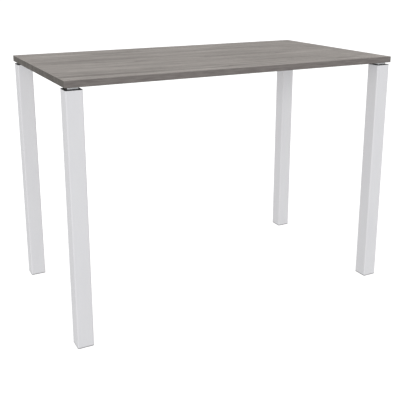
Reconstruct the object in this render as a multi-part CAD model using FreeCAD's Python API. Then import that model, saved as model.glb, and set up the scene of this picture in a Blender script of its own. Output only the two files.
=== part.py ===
import FreeCAD, Part
import math
import os

# Standing meeting table, in millimetres.
# The origin is on the floor under the middle of the top. +X runs along the
# long side, +Y to the back, +Z up.

# Top
TABLE_HEIGHT = 1130.0
TOP_LENGTH = 1600.0
TOP_WIDTH = 870.0
TOP_THICKNESS = 28.0
EDGE_BAND_THICKNESS = 2.0
EDGE_EASE = 1.0  # radius on the outer edges of the bands

# Legs
LEG_SECTION = 70.0
LEG_WALL = 2.0
LEG_CORNER_RADIUS = 5.0
LEG_SETBACK = 4.0  # from the edge of the top to the face of the leg

# Joint between leg and top, from the leg upwards
HEAD_PLATE_THICKNESS = 6.0
CAP_PLUG_DEPTH = 6.0  # the part of the cap inside the tube
CAP_FLANGE_THICKNESS = 2.0
CAP_FLANGE_SETBACK = 0.5
SPACER_SIDE = 44.0
SPACER_HEIGHT = 7.0
SPACER_CORNER_RADIUS = 3.0
MOUNTING_PLATE_SIDE = 150.0
MOUNTING_PLATE_THICKNESS = 3.0
MOUNTING_PLATE_RADIUS = 8.0

# M6 countersunk leg bolts
BOLT_DIAMETER = 6.0
BOLT_HEAD_DIAMETER = 12.0
BOLT_LENGTH = 25.0
BOLT_SPACING = 26.0
BOLT_HEAD_SINK = 0.2  # below the face of the mounting plate
BOLT_SOCKET_WIDTH = 4.0  # across the flats of the hexagon
BOLT_SOCKET_DEPTH = 2.2

# Wood screws
WOOD_SCREW_DIAMETER = 4.5
WOOD_SCREW_LENGTH = 20.0  # from under its head
WOOD_SCREW_HEAD_DIAMETER = 9.0
WOOD_SCREW_HEAD_HEIGHT = 2.4
WOOD_SCREW_EDGE = 15.0  # from the edges of the mounting plate
WOOD_SCREW_PITCH = 60.0
WOOD_SCREW_SLOT_LENGTH = 4.4  # of the two crossed slots in its head
WOOD_SCREW_SLOT_WIDTH = 0.9
WOOD_SCREW_SLOT_DEPTH = 1.4

# Levelling foot
FOOT_TRAVEL = 10.0
FOOT_SOLE_THICKNESS = 5.0
FOOT_EDGE_CHAMFER = 0.8
FOOT_COLLAR_HEIGHT = 16.0
FOOT_COLLAR_WALL = 3.0
FOOT_COLLAR_RADIUS = 4.0
FOOT_BOSS_WALL = 4.0
FOOT_POCKET_FLOOR = 3.0  # plastic left under the head of the screw
FOOT_LIP_HEIGHT = 1.6  # lip that the head of the screw snaps under
FOOT_LIP_GRIP = 0.4
FOOT_RIB_THICKNESS = 2.5
BASE_PLATE_THICKNESS = 8.0
BASE_PLATE_GAP = 4.0  # between collar and base plate, foot fully home

# M10 levelling screw
FOOT_SCREW_DIAMETER = 10.0
FOOT_SCREW_HEAD_DIAMETER = 15.0
FOOT_SCREW_HEAD_HEIGHT = 5.0
FOOT_SCREW_SPARE = 1.0  # above the base plate, foot fully out
FOOT_SOCKET_WIDTH = 6.0  # across the flats of the hexagon
FOOT_SOCKET_DEPTH = 5.0

# Clearances
THREAD_CLEARANCE = 0.05  # radial, screw in its tapped hole
BOLT_HOLE_CLEARANCE = 0.3  # radial, bolt or screw in a plain hole
BOLT_HEAD_CLEARANCE = 0.05  # radial, head of the bolt in its countersink
PILOT_CLEARANCE = 0.05  # radial, wood screw in the board
PILOT_END_CLEARANCE = 1.0
CAP_CLEARANCE = 0.2  # a side, cap in the tube
GUIDE_CLEARANCE = 0.3  # a side, collar of the foot in the tube
HEAD_CLEARANCE = 0.3  # radial and above, head of the screw in the foot
HEAD_SEAT_CLEARANCE = 0.1  # under the head of the screw
WELD_CORNER_RELIEF = 3.0  # welded plates clear the rounded corners of the bore

# Heights worked out from the sizes above
BOARD_UNDERSIDE = TABLE_HEIGHT - TOP_THICKNESS
PLATE_UNDERSIDE = BOARD_UNDERSIDE - MOUNTING_PLATE_THICKNESS
SPACER_UNDERSIDE = PLATE_UNDERSIDE - SPACER_HEIGHT
TUBE_TOP = SPACER_UNDERSIDE - CAP_FLANGE_THICKNESS
TUBE_BOTTOM = FOOT_SOLE_THICKNESS
HEAD_PLATE_TOP = TUBE_TOP - CAP_PLUG_DEPTH
BASE_PLATE_BOTTOM = TUBE_BOTTOM + FOOT_COLLAR_HEIGHT + BASE_PLATE_GAP
BASE_PLATE_TOP = BASE_PLATE_BOTTOM + BASE_PLATE_THICKNESS
FOOT_SCREW_BOTTOM = FOOT_POCKET_FLOOR + HEAD_SEAT_CLEARANCE
FOOT_HEAD_TOP = FOOT_SCREW_BOTTOM + FOOT_SCREW_HEAD_HEIGHT
FOOT_LIP_UNDERSIDE = FOOT_HEAD_TOP + HEAD_CLEARANCE
FOOT_SCREW_TOP = BASE_PLATE_TOP + FOOT_TRAVEL + FOOT_SCREW_SPARE
TUBE_BORE = LEG_SECTION - 2 * LEG_WALL
TUBE_BORE_RADIUS = LEG_CORNER_RADIUS - LEG_WALL

# Corner name, side along X, side along Y
CORNERS = [
    ("front_left", -1, -1),
    ("front_right", 1, -1),
    ("back_left", -1, 1),
    ("back_right", 1, 1),
]


def leg_centre(side_x, side_y):
    inset = LEG_SETBACK + LEG_SECTION / 2
    return side_x * (TOP_LENGTH / 2 - inset), side_y * (TOP_WIDTH / 2 - inset)


def plate_centre(side_x, side_y):
    """The mounting plate shares the two outer faces of the spacer and reaches inwards from them."""
    x, y = leg_centre(side_x, side_y)
    inwards = (MOUNTING_PLATE_SIDE - SPACER_SIDE) / 2
    return x - side_x * inwards, y - side_y * inwards


def leg_bolt_places(side_x, side_y):
    x, y = leg_centre(side_x, side_y)
    half = BOLT_SPACING / 2
    return [(x + i * half, y + j * half) for i in (-1, 1) for j in (-1, 1)]


def wood_screw_places(side_x, side_y):
    """A square grid of nine on the mounting plate, less the one that the spacer covers."""
    x, y = plate_centre(side_x, side_y)
    outermost = MOUNTING_PLATE_SIDE / 2 - WOOD_SCREW_EDGE
    places = []
    for i in range(3):
        for j in range(3):
            if (i, j) == (0, 0):
                continue
            from_outer_x = outermost - i * WOOD_SCREW_PITCH
            from_outer_y = outermost - j * WOOD_SCREW_PITCH
            places.append((x + side_x * from_outer_x, y + side_y * from_outer_y))
    return places


def block(x_low, x_high, y_low, y_high, z_low, z_high):
    corner = FreeCAD.Vector(x_low, y_low, z_low)
    return Part.makeBox(x_high - x_low, y_high - y_low, z_high - z_low, corner)


def square_bar(centre, side, radius, z_low, z_high):
    """An upright square bar with rounded vertical corners."""
    x, y = centre
    half = side / 2
    bar = block(x - half, x + half, y - half, y + half, z_low, z_high)
    uprights = [edge for edge in bar.Edges if abs(edge.tangentAt(edge.FirstParameter).z) > 0.5]
    return bar.makeFillet(radius, uprights)


def rod(centre, diameter, z_low, z_high):
    return Part.makeCylinder(diameter / 2, z_high - z_low, FreeCAD.Vector(*centre, z_low))


def hexagon(centre, across_flats, z_low, z_high):
    x, y = centre
    reach = across_flats / math.sqrt(3)
    turns = [math.radians(60 * k) for k in range(7)]
    outline = [FreeCAD.Vector(x + reach * math.cos(a), y + reach * math.sin(a), z_low) for a in turns]
    face = Part.Face(Part.makePolygon(outline))
    return face.extrude(FreeCAD.Vector(0, 0, z_high - z_low))


def countersink(centre, z_top, clearance):
    """The space of a 90 degree bolt head, grown by the clearance."""
    radius = BOLT_HEAD_DIAMETER / 2 + clearance
    shank = BOLT_DIAMETER / 2 + clearance
    depth = (BOLT_HEAD_DIAMETER - BOLT_DIAMETER) / 2
    return Part.makeCone(shank, radius, depth, FreeCAD.Vector(*centre, z_top - depth))


# Top

def worktop_board():
    half_x = TOP_LENGTH / 2 - EDGE_BAND_THICKNESS
    half_y = TOP_WIDTH / 2 - EDGE_BAND_THICKNESS
    board = block(-half_x, half_x, -half_y, half_y, BOARD_UNDERSIDE, TABLE_HEIGHT)
    pilot_diameter = WOOD_SCREW_DIAMETER + 2 * PILOT_CLEARANCE
    pilot_top = PLATE_UNDERSIDE + WOOD_SCREW_LENGTH + PILOT_END_CLEARANCE
    pilots = []
    for _, side_x, side_y in CORNERS:
        for place in wood_screw_places(side_x, side_y):
            pilots.append(rod(place, pilot_diameter, BOARD_UNDERSIDE, pilot_top))
    return board.cut(Part.makeCompound(pilots))


def ease_outer_edges(band):
    """Rounds every edge of a band that shows: those on its outer face and across its end faces."""
    eased = []
    for edge in band.Edges:
        middle = edge.valueAt((edge.FirstParameter + edge.LastParameter) / 2)
        runs_along_y = abs(edge.tangentAt(edge.FirstParameter).y) > 0.5
        on_long_face = math.isclose(abs(middle.y), TOP_WIDTH / 2)
        on_short_face = math.isclose(abs(middle.x), TOP_LENGTH / 2)
        if on_long_face or (on_short_face and runs_along_y):
            eased.append(edge)
    radius = min(EDGE_EASE, 0.8 * EDGE_BAND_THICKNESS)
    return band.makeFillet(radius, eased)


def long_edge_band(side_y):
    outer = side_y * TOP_WIDTH / 2
    inner = side_y * (TOP_WIDTH / 2 - EDGE_BAND_THICKNESS)
    half_x = TOP_LENGTH / 2
    y_low, y_high = sorted((outer, inner))
    return ease_outer_edges(block(-half_x, half_x, y_low, y_high, BOARD_UNDERSIDE, TABLE_HEIGHT))


def short_edge_band(side_x):
    """Lies between the two long bands."""
    outer = side_x * TOP_LENGTH / 2
    inner = side_x * (TOP_LENGTH / 2 - EDGE_BAND_THICKNESS)
    half_y = TOP_WIDTH / 2 - EDGE_BAND_THICKNESS
    x_low, x_high = sorted((outer, inner))
    return ease_outer_edges(block(x_low, x_high, -half_y, half_y, BOARD_UNDERSIDE, TABLE_HEIGHT))


# Leg

def leg_tube(centre):
    outside = square_bar(centre, LEG_SECTION, LEG_CORNER_RADIUS, TUBE_BOTTOM, TUBE_TOP)
    bore = square_bar(centre, TUBE_BORE, TUBE_BORE_RADIUS, TUBE_BOTTOM, TUBE_TOP)
    return outside.cut(bore)


def welded_plate(centre, z_low, z_high):
    """A plate that meets the four flats of the bore and clears its rounded corners."""
    return square_bar(centre, TUBE_BORE, TUBE_BORE_RADIUS + WELD_CORNER_RELIEF, z_low, z_high)


def head_plate(centre, bolt_places):
    z_low = HEAD_PLATE_TOP - HEAD_PLATE_THICKNESS
    plate = welded_plate(centre, z_low, HEAD_PLATE_TOP)
    tapped = BOLT_DIAMETER + 2 * THREAD_CLEARANCE
    holes = [rod(place, tapped, z_low, HEAD_PLATE_TOP) for place in bolt_places]
    return plate.cut(Part.makeCompound(holes))


def base_plate(centre):
    plate = welded_plate(centre, BASE_PLATE_BOTTOM, BASE_PLATE_TOP)
    tapped = FOOT_SCREW_DIAMETER + 2 * THREAD_CLEARANCE
    return plate.cut(rod(centre, tapped, BASE_PLATE_BOTTOM, BASE_PLATE_TOP))


# Joint between leg and top

def bolt_holes(bolt_places, z_low, z_high):
    diameter = BOLT_DIAMETER + 2 * BOLT_HOLE_CLEARANCE
    return Part.makeCompound([rod(place, diameter, z_low, z_high) for place in bolt_places])


def leg_cap(centre, bolt_places):
    """A flange on the end of the tube, over a plug that fills the tube down to the head plate."""
    flange_side = LEG_SECTION - 2 * CAP_FLANGE_SETBACK
    flange_radius = LEG_CORNER_RADIUS - CAP_FLANGE_SETBACK
    flange = square_bar(centre, flange_side, flange_radius, TUBE_TOP, SPACER_UNDERSIDE)
    plug_side = TUBE_BORE - 2 * CAP_CLEARANCE
    plug = square_bar(centre, plug_side, TUBE_BORE_RADIUS, HEAD_PLATE_TOP, TUBE_TOP)
    cap = flange.fuse(plug).removeSplitter()
    return cap.cut(bolt_holes(bolt_places, HEAD_PLATE_TOP, SPACER_UNDERSIDE))


def spacer(centre, bolt_places):
    body = square_bar(centre, SPACER_SIDE, SPACER_CORNER_RADIUS, SPACER_UNDERSIDE, PLATE_UNDERSIDE)
    return body.cut(bolt_holes(bolt_places, SPACER_UNDERSIDE, PLATE_UNDERSIDE))


def mounting_plate(centre, bolt_places, screw_places):
    plate = square_bar(
        centre, MOUNTING_PLATE_SIDE, MOUNTING_PLATE_RADIUS, PLATE_UNDERSIDE, BOARD_UNDERSIDE)
    screw_hole = WOOD_SCREW_DIAMETER + 2 * BOLT_HOLE_CLEARANCE
    holes = [rod(place, screw_hole, PLATE_UNDERSIDE, BOARD_UNDERSIDE) for place in screw_places]
    bolt_head_top = BOARD_UNDERSIDE - BOLT_HEAD_SINK
    rim = BOLT_HEAD_DIAMETER + 2 * BOLT_HEAD_CLEARANCE
    for place in bolt_places:
        holes.append(countersink(place, bolt_head_top, BOLT_HEAD_CLEARANCE))
        holes.append(rod(place, rim, bolt_head_top, BOARD_UNDERSIDE))
    plate = plate.cut(bolt_holes(bolt_places, PLATE_UNDERSIDE, BOARD_UNDERSIDE))
    return plate.cut(Part.makeCompound(holes))


def leg_bolt(place):
    head_top = BOARD_UNDERSIDE - BOLT_HEAD_SINK
    shank = rod(place, BOLT_DIAMETER, head_top - BOLT_LENGTH, head_top)
    bolt = shank.fuse(countersink(place, head_top, 0)).removeSplitter()
    return bolt.cut(hexagon(place, BOLT_SOCKET_WIDTH, head_top - BOLT_SOCKET_DEPTH, head_top))


def wood_screw(place):
    """Its domed head lies against the underside of the mounting plate."""
    shank = rod(place, WOOD_SCREW_DIAMETER, PLATE_UNDERSIDE, PLATE_UNDERSIDE + WOOD_SCREW_LENGTH)
    head_bottom = PLATE_UNDERSIDE - WOOD_SCREW_HEAD_HEIGHT
    head = rod(place, WOOD_SCREW_HEAD_DIAMETER, head_bottom, PLATE_UNDERSIDE)
    lower_rim = [edge for edge in head.Edges if math.isclose(edge.BoundBox.ZMax, head_bottom)]
    head = head.makeFillet(0.7 * WOOD_SCREW_HEAD_HEIGHT, lower_rim)
    x, y = place
    long = WOOD_SCREW_SLOT_LENGTH / 2
    thin = WOOD_SCREW_SLOT_WIDTH / 2
    slot_top = head_bottom + WOOD_SCREW_SLOT_DEPTH
    slot_along_x = block(x - long, x + long, y - thin, y + thin, head_bottom, slot_top)
    slot_along_y = block(x - thin, x + thin, y - long, y + long, head_bottom, slot_top)
    return shank.fuse(head).cut(slot_along_x.fuse(slot_along_y))


# Levelling foot

def foot_pad(centre):
    """Sole, collar that slides in the tube, and boss that holds the head of the screw."""
    sole = square_bar(centre, LEG_SECTION, LEG_CORNER_RADIUS, 0, FOOT_SOLE_THICKNESS)
    floor_edges = [edge for edge in sole.Edges if math.isclose(edge.BoundBox.ZMax, 0, abs_tol=1e-6)]
    sole = sole.makeChamfer(FOOT_EDGE_CHAMFER, floor_edges)

    collar_top = FOOT_SOLE_THICKNESS + FOOT_COLLAR_HEIGHT
    collar_side = TUBE_BORE - 2 * GUIDE_CLEARANCE
    collar_inside = collar_side - 2 * FOOT_COLLAR_WALL
    collar_inner_radius = max(FOOT_COLLAR_RADIUS - FOOT_COLLAR_WALL, 0.5)
    collar = square_bar(
        centre, collar_side, FOOT_COLLAR_RADIUS, FOOT_SOLE_THICKNESS, collar_top)
    hollow = square_bar(
        centre, collar_inside, collar_inner_radius, FOOT_SOLE_THICKNESS, collar_top)

    pocket_diameter = FOOT_SCREW_HEAD_DIAMETER + 2 * HEAD_CLEARANCE
    boss_top = FOOT_LIP_UNDERSIDE + FOOT_LIP_HEIGHT
    boss = rod(centre, pocket_diameter + 2 * FOOT_BOSS_WALL, FOOT_SOLE_THICKNESS, boss_top)
    x, y = centre
    reach = collar_inside / 2
    thin = FOOT_RIB_THICKNESS / 2
    rib_along_x = block(x - reach, x + reach, y - thin, y + thin, FOOT_SOLE_THICKNESS, boss_top)
    rib_along_y = block(x - thin, x + thin, y - reach, y + reach, FOOT_SOLE_THICKNESS, boss_top)

    pad = sole.fuse([collar.cut(hollow), boss, rib_along_x, rib_along_y]).removeSplitter()
    pocket = rod(centre, pocket_diameter, FOOT_POCKET_FLOOR, FOOT_LIP_UNDERSIDE)
    lip_diameter = FOOT_SCREW_HEAD_DIAMETER - 2 * FOOT_LIP_GRIP
    mouth = rod(centre, lip_diameter, FOOT_LIP_UNDERSIDE, boss_top)
    key_diameter = 2 * FOOT_SOCKET_WIDTH / math.sqrt(3) + 2 * BOLT_HOLE_CLEARANCE
    key_hole = rod(centre, key_diameter, 0, FOOT_POCKET_FLOOR)
    return pad.cut(pocket.fuse([mouth, key_hole]))


def foot_screw(centre):
    head = rod(centre, FOOT_SCREW_HEAD_DIAMETER, FOOT_SCREW_BOTTOM, FOOT_HEAD_TOP)
    shank = rod(centre, FOOT_SCREW_DIAMETER, FOOT_HEAD_TOP, FOOT_SCREW_TOP)
    socket_top = FOOT_SCREW_BOTTOM + FOOT_SOCKET_DEPTH
    socket = hexagon(centre, FOOT_SOCKET_WIDTH, FOOT_SCREW_BOTTOM, socket_top)
    return head.fuse(shank).cut(socket)


def build_parts():
    parts = {
        "worktop_board": worktop_board(),
        "edge_band_front": long_edge_band(-1),
        "edge_band_back": long_edge_band(1),
        "edge_band_left": short_edge_band(-1),
        "edge_band_right": short_edge_band(1),
    }
    leg_bolts = []
    wood_screws = []
    for corner, side_x, side_y in CORNERS:
        centre = leg_centre(side_x, side_y)
        bolt_places = leg_bolt_places(side_x, side_y)
        screw_places = wood_screw_places(side_x, side_y)
        parts["leg_tube_" + corner] = leg_tube(centre)
        parts["head_plate_" + corner] = head_plate(centre, bolt_places)
        parts["base_plate_" + corner] = base_plate(centre)
        parts["leg_cap_" + corner] = leg_cap(centre, bolt_places)
        parts["spacer_" + corner] = spacer(centre, bolt_places)
        parts["mounting_plate_" + corner] = mounting_plate(
            plate_centre(side_x, side_y), bolt_places, screw_places)
        parts["foot_pad_" + corner] = foot_pad(centre)
        parts["foot_screw_" + corner] = foot_screw(centre)
        leg_bolts += [leg_bolt(place) for place in bolt_places]
        wood_screws += [wood_screw(place) for place in screw_places]
    parts["leg_bolts"] = Part.makeCompound(leg_bolts)
    parts["wood_screws"] = Part.makeCompound(wood_screws)
    return parts


os.makedirs("parts", exist_ok=True)
for node, shape in build_parts().items():
    shape.exportStep("parts/" + node + ".step")
    print(node, len(shape.Solids), "solids", round(shape.Volume / 1000, 2), "cm3")
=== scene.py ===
import bpy
import math
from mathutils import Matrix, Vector


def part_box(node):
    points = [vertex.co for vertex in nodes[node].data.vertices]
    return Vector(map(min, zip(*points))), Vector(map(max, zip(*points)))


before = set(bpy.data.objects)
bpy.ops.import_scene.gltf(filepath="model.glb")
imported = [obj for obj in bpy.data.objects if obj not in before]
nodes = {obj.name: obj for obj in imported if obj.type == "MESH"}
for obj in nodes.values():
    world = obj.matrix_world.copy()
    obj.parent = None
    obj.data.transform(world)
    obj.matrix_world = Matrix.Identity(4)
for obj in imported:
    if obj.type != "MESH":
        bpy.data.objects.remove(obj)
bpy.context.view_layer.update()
cornerNames = ("front_left", "front_right", "back_left", "back_right")


# Small helpers

mm = 0.001  # patterns are given in mm, and Blender works in metres
midTone = 0.5  # half way from dark to light
noiseReach = 0.25  # how far a Noise node usually strays from its middle
waveSpacing = 2 * math.pi / 20  # m between the rings of a Wave node with a scale of 1
mixFactor, mixFirst, mixSecond, mixResult = 0, 6, 7, 2  # sockets of a Mix node that mixes colours


def linear(hexColour):
    # sRGB hex to a linear RGBA colour
    parts = [int(hexColour[i:i + 2], 16) / 255 for i in (1, 3, 5)]
    return [c / 12.92 if c <= 0.04045 else ((c + 0.055) / 1.055) ** 2.4 for c in parts] + [1.0]


def addNode(tree, kind, inputs=None, feeds=None, **settings):
    # one node: its settings, the values or sources of its inputs, and the sockets it feeds
    node = tree.nodes.new("ShaderNode" + kind)
    for name, value in settings.items():
        setattr(node, name, value)
    for socket, value in (inputs or {}).items():
        if isinstance(value, bpy.types.NodeSocket):
            tree.links.new(value, node.inputs[socket])
        else:
            node.inputs[socket].default_value = value
    for output, socket in (feeds or {}).items():
        tree.links.new(node.outputs[output], socket)
    return node


def startMaterial(name, shaderValues):
    # a material with its shader and output, and the place on the piece as Object coordinates
    material = bpy.data.materials.new(name)
    material.use_nodes = True
    tree = material.node_tree
    tree.nodes.clear()
    shader = addNode(tree, "BsdfPrincipled", shaderValues)
    addNode(tree, "OutputMaterial", {"Surface": shader.outputs["BSDF"]})
    place = addNode(tree, "TexCoord").outputs["Object"]
    return material, tree, shader.inputs, place


def patches(tree, place, sizes, detail=2.0, roughness=0.5, start=0.0):
    # an irregular pattern from 0 to 1 whose patches measure the given mm along X, Y and Z; another
    # start gives another stretch of it
    scaled = addNode(tree, "Mapping", {
        "Vector": place, "Location": (start, start, start),
        "Scale": [1 / (size * mm) for size in sizes]})
    return addNode(tree, "TexNoise", {
        "Vector": scaled.outputs[0], "Scale": 1.0, "Detail": detail, "Roughness": roughness}).outputs[0]


def addTone(tree, tone, pattern, strength):
    # tone + (pattern - 0.5) * strength
    step = addNode(tree, "Math", {0: pattern, 1: strength, 2: -strength / 2}, operation="MULTIPLY_ADD")
    return addNode(tree, "Math", {0: step.outputs[0], 1: tone}, operation="ADD").outputs[0]


def shade(tree, finish, tone, look):
    # the look's colour, from dark to light, and its roughness follow the tone
    addNode(tree, "MapRange", {
        "Value": tone, "To Min": look["roughness"][0], "To Max": look["roughness"][1]},
        {0: finish["Roughness"]})
    return addNode(tree, "Mix", {
        mixFactor: tone, mixFirst: linear(look["dark"]), mixSecond: linear(look["light"])},
        {mixResult: finish["Base Color"]}, data_type="RGBA").outputs[mixResult]


def dress(material, nodeNames):
    for name in nodeNames:
        for slot in nodes[name].material_slots:
            slot.material = material
    print("  ", material.name, "on", len(nodeNames), "nodes")


def everyCorner(stem):
    return [stem + "_" + corner for corner in cornerNames]


# Camera

camera = {
    "place": (-1.4905, -2.8957, 1.5387),  # m
    "yaw": 27.17,  # from +Y towards +X, degrees
    "pitch": 14.59,  # down, degrees
    "focalLength": 60.8,  # mm
    "sensorWidth": 36.0,  # mm
    "shiftY": -0.14,  # as a share of the frame
}


def makeCamera():
    data = bpy.data.cameras.new("camera")
    data.sensor_width = camera["sensorWidth"]
    data.lens = camera["focalLength"]
    data.shift_y = camera["shiftY"]
    holder = bpy.data.objects.new("camera", data)
    holder.location = camera["place"]
    holder.rotation_euler = (math.radians(90 - camera["pitch"]), 0, -math.radians(camera["yaw"]))
    bpy.context.collection.objects.link(holder)
    bpy.context.scene.camera = holder


makeCamera()
print("Camera placed")


# Studio: a pale floor, an even white dome and a broad soft key light, low at the front left

studio = {
    "lightColour": "#ffffff",
    "domeStrength": 0.72,
    "backdropStrength": 1.05,  # the dome as the camera sees it
    "floorSide": 60.0,  # m
    "floorColour": "#c8c8c8",
    "floorRoughness": 0.9,
    "floorBounce": 0.38,  # light that the floor throws up at the table
    "floorGlow": 0.75,  # the same as the camera sees it, which keeps the floor white
    "keyAzimuth": 36.0,  # from -Y towards -X, degrees
    "keyElevation": 8.0,  # above the floor, degrees
    "keyAngle": 25.0,  # how wide the soft source looks, degrees
    "keyStrength": 1.4,
}


def setGlow(tree, socket, cast, seen):
    # one strength for the light that is cast on the table, another for what the camera sees
    cameraRay = addNode(tree, "LightPath").outputs["Is Camera Ray"]
    addNode(tree, "MapRange", {"Value": cameraRay, "To Min": cast, "To Max": seen}, {0: socket})


def makeDome():
    world = bpy.data.worlds.new("softDome")
    world.use_nodes = True
    tree = world.node_tree
    tree.nodes.clear()
    background = addNode(tree, "Background", {"Color": linear(studio["lightColour"])})
    addNode(tree, "OutputWorld", {"Surface": background.outputs[0]})
    setGlow(tree, background.inputs["Strength"], studio["domeStrength"], studio["backdropStrength"])
    bpy.context.scene.world = world


def makeFloor():
    # one matt square without gloss, level with the feet
    half = studio["floorSide"] / 2
    mesh = bpy.data.meshes.new("paleFloor")
    mesh.from_pydata([(-half, -half, 0), (half, -half, 0), (half, half, 0), (-half, half, 0)],
                     [], [(0, 1, 2, 3)])
    floor = bpy.data.objects.new("paleFloor", mesh)
    bpy.context.collection.objects.link(floor)
    material, tree, finish, _ = startMaterial("paleMattFloor", {
        "Base Color": linear(studio["floorColour"]), "Roughness": studio["floorRoughness"],
        "Specular IOR Level": 0.0, "Emission Color": linear(studio["lightColour"])})
    setGlow(tree, finish["Emission Strength"], studio["floorBounce"], studio["floorGlow"])
    mesh.materials.append(material)


def makeKeyLight():
    azimuth, elevation = math.radians(studio["keyAzimuth"]), math.radians(studio["keyElevation"])
    towards = Vector((-math.sin(azimuth) * math.cos(elevation),
                      -math.cos(azimuth) * math.cos(elevation), math.sin(elevation)))
    data = bpy.data.lights.new("keyLight", "SUN")
    data.angle = math.radians(studio["keyAngle"])
    data.energy = studio["keyStrength"]
    light = bpy.data.objects.new("keyLight", data)
    light.rotation_euler = towards.to_track_quat("Z", "Y").to_euler()
    bpy.context.collection.objects.link(light)


makeDome()
makeFloor()
makeKeyLight()
bpy.context.scene.view_settings.view_transform = "Standard"
print("Studio lit")


# Worktop: particle board faced with matt melamine paper, printed in a grey oak

boardLow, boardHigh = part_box("worktop_board")

oak = {
    "dark": "#675f59",
    "light": "#c8c1bb",
    "roughness": (0.50, 0.62),
    "specular": 0.35,
    "swayPatch": (700, 180, 180),  # mm, how slowly the grain wanders
    "swayWidth": 12.0,  # mm, how far
    "porePatch": (36, 1.3, 1.3),  # mm, pores are 0.3 mm wide, drawn coarser so that they show
    "poreStart": 0.58,  # where the pattern passes this a pore begins
    "poreFull": 0.66,  # and here it is fully dark
    "poreDepth": 0.06,  # mm
    "poreStrength": -0.30,
    "streakStrength": -0.22,
    "streakLining": 2.0,  # how strongly the bands break the streaks into lines
    "streakHeight": 2000.0,  # mm, so tall that the lower face has the streaks too
}

# Layers of the grain: patch in mm along X, Y and Z, how finely it is broken up, and its strength
grainLayers = {
    # long soft bands
    "figure": {"patch": (900, 60, 60), "detail": 3.0, "roughness": 0.55, "strength": 0.1},
    # the lines that show from a few metres
    "bands": {"patch": (420, 22, 22), "detail": 4.0, "roughness": 0.65, "strength": 1.15},
    # bundles of fibres, 1 mm wide, drawn coarser so that they show
    "fibres": {"patch": (140, 3.5, 3.5), "detail": 2.0, "roughness": 0.6, "strength": 0.95},
}

growthRings = {
    "width": 20.0,  # mm, really 2 to 3 mm in oak, drawn coarser so that they show
    "slope": 0.05,  # how steeply the log's axis runs through the board
    "bend": 2.0,  # how far the rings stray from round
    "bendDetail": 2.0,
    "bendScale": 0.6,
    "strength": 0.28,
    "heartSpacing": 320.0,  # mm between the hearts of the printed planks
    "heartReach": 6000.0,  # mm, no heart comes out of the board further than this towards -X
    "heartPatch": 4000.0,  # mm, how slowly that place changes along the board
}

# Streaks of heartwood and sapwood: middle along X and Y, half length and half width in mm where the
# streak is half as strong, and its depth, negative where the wood is paler
oakStreaks = [
    (-560, 75, 190, 26, 1.0),
    (-340, 280, 110, 18, 0.7),
    (-370, 210, 130, 18, 0.6),
    (20, 205, 320, 16, 0.5),
    (430, 212, 190, 20, 0.8),
    (-60, 100, 200, 12, 0.5),
    (750, 78, 150, 26, 1.0),
    (280, -45, 140, 22, 0.9),
    (-190, -56, 130, 24, 0.4),
    (270, -150, 100, 12, 0.45),
    (340, -246, 110, 14, 0.8),
    (-360, -350, 330, 15, 1.0),
    (320, -346, 130, 14, 0.5),
    (160, 340, 170, 30, -0.7),
    (-680, 334, 80, 22, -0.6),
    (-40, 150, 90, 14, -0.6),
    (-430, -216, 200, 24, -0.6),
    (-10, -206, 90, 18, -0.6),
    (520, -86, 200, 24, -0.45),
    (-450, -404, 420, 14, -1.1),
    (520, -396, 260, 14, -1.0),
]


def swayingGrain(tree, place):
    # the place, moved a little to the side, so that all that follows it wanders along the board
    drift = patches(tree, place, oak["swayPatch"], detail=1.0)
    sway = addTone(tree, 0.0, drift, oak["swayWidth"] * mm / noiseReach)
    offset = addNode(tree, "CombineXYZ", {"Y": sway, "Z": sway})
    return addNode(tree, "VectorMath", {0: place, 1: offset.outputs[0]}, operation="ADD").outputs[0]


def ringPattern(tree, place, grain):
    # growth rings about log axes that run slowly through the board: long nested arches
    look = growthRings
    split = addNode(tree, "SeparateXYZ", {"Vector": grain}).outputs
    folded = addNode(tree, "Math", {0: split["Y"], 1: look["heartSpacing"] / 2 * mm},
                     operation="PINGPONG")
    plank = (look["heartPatch"], look["heartSpacing"], look["heartSpacing"])
    wander = patches(tree, place, plank, detail=0.0, start=3.0)
    along = addNode(tree, "Math", {0: wander, 1: look["heartReach"] * mm, 2: split["X"]},
                    operation="MULTIPLY_ADD")
    rise = addNode(tree, "Math", {0: along.outputs[0], 1: look["slope"]}, operation="MULTIPLY")
    logPlace = addNode(tree, "CombineXYZ", {"X": rise.outputs[0], "Y": folded.outputs[0]})
    return addNode(tree, "TexWave", {
        "Vector": logPlace.outputs[0], "Scale": waveSpacing / (look["width"] * mm),
        "Distortion": look["bend"], "Detail": look["bendDetail"], "Detail Scale": look["bendScale"]},
        wave_type="RINGS", rings_direction="Z", wave_profile="SAW").outputs["Fac"]


def streakPattern(tree, grain, bands):
    # soft ellipsoids about the upper face, half as strong half way out, added up and broken into lines
    streaks = 0.0
    for x, y, halfLength, halfWidth, depth in oakStreaks:
        ellipsoid = addNode(tree, "Mapping", {
            "Vector": grain, "Location": (x * mm, y * mm, boardHigh[2]),
            "Scale": (2 * halfLength * mm, 2 * halfWidth * mm, oak["streakHeight"] / 2 * mm)},
            vector_type="TEXTURE")
        glow = addNode(tree, "TexGradient", {"Vector": ellipsoid.outputs[0]}, gradient_type="SPHERICAL")
        streaks = addNode(tree, "Math", {0: glow.outputs["Fac"], 1: depth, 2: streaks},
                          operation="MULTIPLY_ADD").outputs[0]
    lines = addTone(tree, 1.0, bands, oak["streakLining"])
    return addNode(tree, "Math", {0: streaks, 1: lines}, operation="MULTIPLY").outputs[0]


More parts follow.
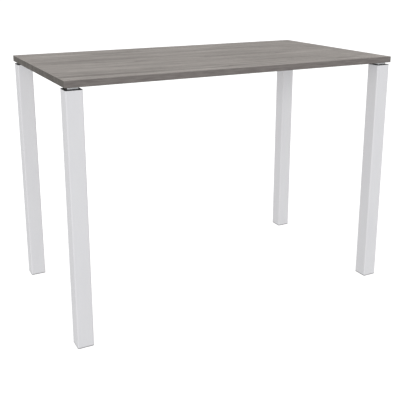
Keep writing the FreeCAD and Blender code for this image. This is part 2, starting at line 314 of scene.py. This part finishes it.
def oakPrint(tree, place):
    # the tone of the print, from 0, dark, to 1, light, and its pores
    grain = swayingGrain(tree, place)
    layers = {name: patches(tree, grain, layer["patch"], layer["detail"], layer["roughness"])
              for name, layer in grainLayers.items()}
    streaks = streakPattern(tree, grain, layers["bands"])
    pores = addNode(tree, "MapRange", {
        "Value": patches(tree, grain, oak["porePatch"], detail=1.0),
        "From Min": oak["poreStart"], "From Max": oak["poreFull"]}).outputs[0]

    tone = midTone
    for name, pattern in layers.items():
        tone = addTone(tree, tone, pattern, grainLayers[name]["strength"])
    tone = addTone(tree, tone, ringPattern(tree, place, grain), growthRings["strength"])
    for pattern, strength in ((streaks, oak["streakStrength"]), (pores, oak["poreStrength"])):
        tone = addNode(tree, "Math", {0: pattern, 1: strength, 2: tone},
                       operation="MULTIPLY_ADD").outputs[0]
    return tone, pores


def greyOakMelamine():
    # matt paper foil under resin: a dry sheen, with the print's pores pressed into it
    material, tree, finish, place = startMaterial(
        "greyOakMelamine", {"Specular IOR Level": oak["specular"]})
    tone, pores = oakPrint(tree, place)
    shade(tree, finish, tone, oak)
    addNode(tree, "Bump", {"Height": pores, "Distance": oak["poreDepth"] * mm},
            {0: finish["Normal"]}, invert=True)
    return material


dress(greyOakMelamine(), ["worktop_board"])


# Edge bands: ABS, printed like the board but a shade darker. Scraping rounds the outer edges, cuts
# through the print and stretches the plastic. The paler line along the top radius is partly that
# whitened plastic and partly a painted highlight; the darker line along the lower radius is painted
# shade

longEdge = {
    "dark": "#615c5a",
    "light": "#7b7673",
    "roughness": (0.52, 0.64),
    "specular": 0.2,
    # top radius: partly whitened scraped plastic, partly a painted highlight
    "scrapedAndHighlit": "#88837f",
    "underside": "#3c3936",  # painted shade along the lower radius
    "bandPatch": (50, 60, 6.5),  # mm, dashes along the band, 3 mm high, drawn coarser so that they show
    "bandStrength": 1.4,
    "fibrePatch": (70, 60, 1.0),  # mm
    "fibreStrength": 0.7,
}
shortEdge = {
    "dark": "#36322d",
    "light": "#6a6560",
    "roughness": (0.52, 0.64),
    "specular": 0.2,
    # top radius: partly whitened scraped plastic, partly a painted highlight
    "scrapedAndHighlit": "#a8a39d",
    # painted shade along the lower radius
    "underside": "#3c3936",
    "bandPatch": (60, 22, 40),  # mm, upright dashes like end grain, 7 mm wide, drawn coarser
    "bandStrength": 1.4,
    "fibrePatch": (60, 1.8, 9),  # mm
    "fibreStrength": 0.7,
}
edgeLines = {
    "radiusHeight": 0.9,  # mm, how far the radius, with its painted lines, reaches along the band
    "glueColour": "#4a443e",  # hot glue between board and band
    "glueWidth": 0.35,  # mm
    "softness": 0.2,  # mm, how gently a line begins
}


def printedAbs(name, edge, across, seam):
    # a soft satin; across is the axis through the band, seam its distance from the middle of the table
    material, tree, finish, place = startMaterial(name, {"Specular IOR Level": edge["specular"]})
    tone = addTone(tree, midTone, patches(tree, place, edge["bandPatch"]), edge["bandStrength"])
    fibres = patches(tree, place, edge["fibrePatch"], start=5.0)
    tone = addTone(tree, tone, fibres, edge["fibreStrength"])
    colour = shade(tree, finish, tone, edge)

    split = addNode(tree, "SeparateXYZ", {"Vector": place}).outputs
    distance = addNode(tree, "Math", {0: split[across]}, operation="ABSOLUTE").outputs[0]
    reach, soft = edgeLines["radiusHeight"] * mm, edgeLines["softness"] * mm
    # what a line is measured along, where it begins, how far on it is full, and its colour
    for measure, begin, step, tint in (
            # the top radius: partly whitened scraped plastic, partly a painted highlight
            (split["Z"], boardHigh[2] - reach, soft, edge["scrapedAndHighlit"]),
            # the lower radius: painted shade
            (split["Z"], boardLow[2] + reach, -soft, edge["underside"]),
            (distance, seam + edgeLines["glueWidth"] * mm, -soft, edgeLines["glueColour"])):
        mask = addNode(tree, "MapRange", {"Value": measure, "From Min": begin, "From Max": begin + step})
        colour = addNode(tree, "Mix", {
            mixFactor: mask.outputs[0], mixFirst: colour, mixSecond: linear(tint)},
            {mixResult: finish["Base Color"]}, data_type="RGBA").outputs[mixResult]
    return material


dress(printedAbs("printedAbsLongEdge", longEdge, "Y", boardHigh[1]),
      ["edge_band_front", "edge_band_back"])
dress(printedAbs("printedAbsShortEdge", shortEdge, "X", boardHigh[0]),
      ["edge_band_left", "edge_band_right"])
print("Worktop dressed")


# Legs: welded steel tube with a pale grey powder coat

coat = {
    "dark": "#cdcdd0",  # where the film is thin
    "light": "#d4d4d6",
    "roughness": (0.44, 0.52),
    "specular": 0.3,
    "cloudPatch": (60, 60, 240),  # mm, where the film is thicker or thinner
    "peelPatch": (1.8, 1.8, 2.4),  # mm, orange peel of the melted powder
    "peelDepth": 0.012,  # mm
}


def powderCoat():
    # baked powder paint: an even satin with a fine orange peel
    material, tree, finish, place = startMaterial(
        "paleGreyPowderCoat", {"Specular IOR Level": coat["specular"]})
    shade(tree, finish, patches(tree, place, coat["cloudPatch"]), coat)
    peel = patches(tree, place, coat["peelPatch"], detail=1.0)
    addNode(tree, "Bump", {"Height": peel, "Distance": coat["peelDepth"] * mm}, {0: finish["Normal"]})
    return material


dress(powderCoat(), everyCorner("leg_tube"))
print("Legs dressed")


# Small parts: how large the clouds of their colour and the grain of their surface are, in mm along X, Y
# and Z, and how deep the grain is, in mm

cloudStrength = 2.0  # 1 is the bare pattern
smallParts = {
    # moulded in a spark-eroded tool: a dry black, never quite even; 0.1 mm grain, drawn coarser to show
    "blackPolypropylene": {
        "dark": "#121213", "light": "#1c1c1e", "cloudPatch": (14, 14, 14), "roughness": (0.50, 0.62),
        "grainPatch": (0.7, 0.7, 0.7), "grainDepth": 0.02, "specular": 0.4},
    # moulded the same way in grey, with the faint flow of the plastic; its grain is drawn coarser too
    "greyPolyamide": {
        "dark": "#919193", "light": "#9c9c9d", "cloudPatch": (14, 14, 30), "roughness": (0.48, 0.60),
        "grainPatch": (0.9, 0.9, 0.9), "grainDepth": 0.02, "specular": 0.4},
    # brushed round and chrome plated: bright, with level lines, 0.05 mm apart, drawn coarser to show
    "satinChrome": {
        "dark": "#b4b5b7", "light": "#c8c9cb", "cloudPatch": (60, 60, 0.5), "roughness": (0.16, 0.30),
        "grainPatch": (30, 30, 0.25), "grainDepth": 0.002, "metal": True},
    # black powder paint on punched plate: satin, with orange peel
    "blackPowderCoat": {
        "dark": "#1c1c1e", "light": "#29292b", "cloudPatch": (25, 25, 25), "roughness": (0.50, 0.62),
        "grainPatch": (1.6, 1.6, 1.6), "grainDepth": 0.015, "specular": 0.4},
    # barrel zinc plating, passivated blue: cloudy and slightly uneven in gloss
    "bluePassivatedZinc": {
        "dark": "#aeb3b8", "light": "#cdd2d8", "cloudPatch": (3, 3, 3), "roughness": (0.26, 0.42),
        "grainPatch": (0.5, 0.5, 0.5), "grainDepth": 0.004, "metal": True},
    # hot-rolled plate under mill scale: dark, blue-grey, with lighter flakes
    "hotRolledSteel": {
        "dark": "#55585d", "light": "#808388", "cloudPatch": (12, 12, 4), "roughness": (0.42, 0.66),
        "grainPatch": (1.2, 1.2, 1.2), "grainDepth": 0.02, "metal": True},
}


def mottled(name):
    # a cloudy colour with gloss that follows it, under a fine grain
    look = smallParts[name]
    shaderValues = {"Metallic": 1.0} if look.get("metal") else {"Specular IOR Level": look["specular"]}
    material, tree, finish, place = startMaterial(name, shaderValues)
    clouds = patches(tree, place, look["cloudPatch"], detail=3.0)
    shade(tree, finish, addTone(tree, midTone, clouds, cloudStrength), look)
    grain = patches(tree, place, look["grainPatch"], detail=1.0)
    addNode(tree, "Bump", {"Height": grain, "Distance": look["grainDepth"] * mm}, {0: finish["Normal"]})
    return material


dress(mottled("blackPolypropylene"), everyCorner("leg_cap"))
dress(mottled("greyPolyamide"), everyCorner("foot_pad"))
dress(mottled("satinChrome"), everyCorner("spacer"))
dress(mottled("blackPowderCoat"), everyCorner("mounting_plate"))
dress(mottled("bluePassivatedZinc"), everyCorner("foot_screw") + ["leg_bolts", "wood_screws"])
dress(mottled("hotRolledSteel"), everyCorner("head_plate") + everyCorner("base_plate"))
print("Small parts dressed")
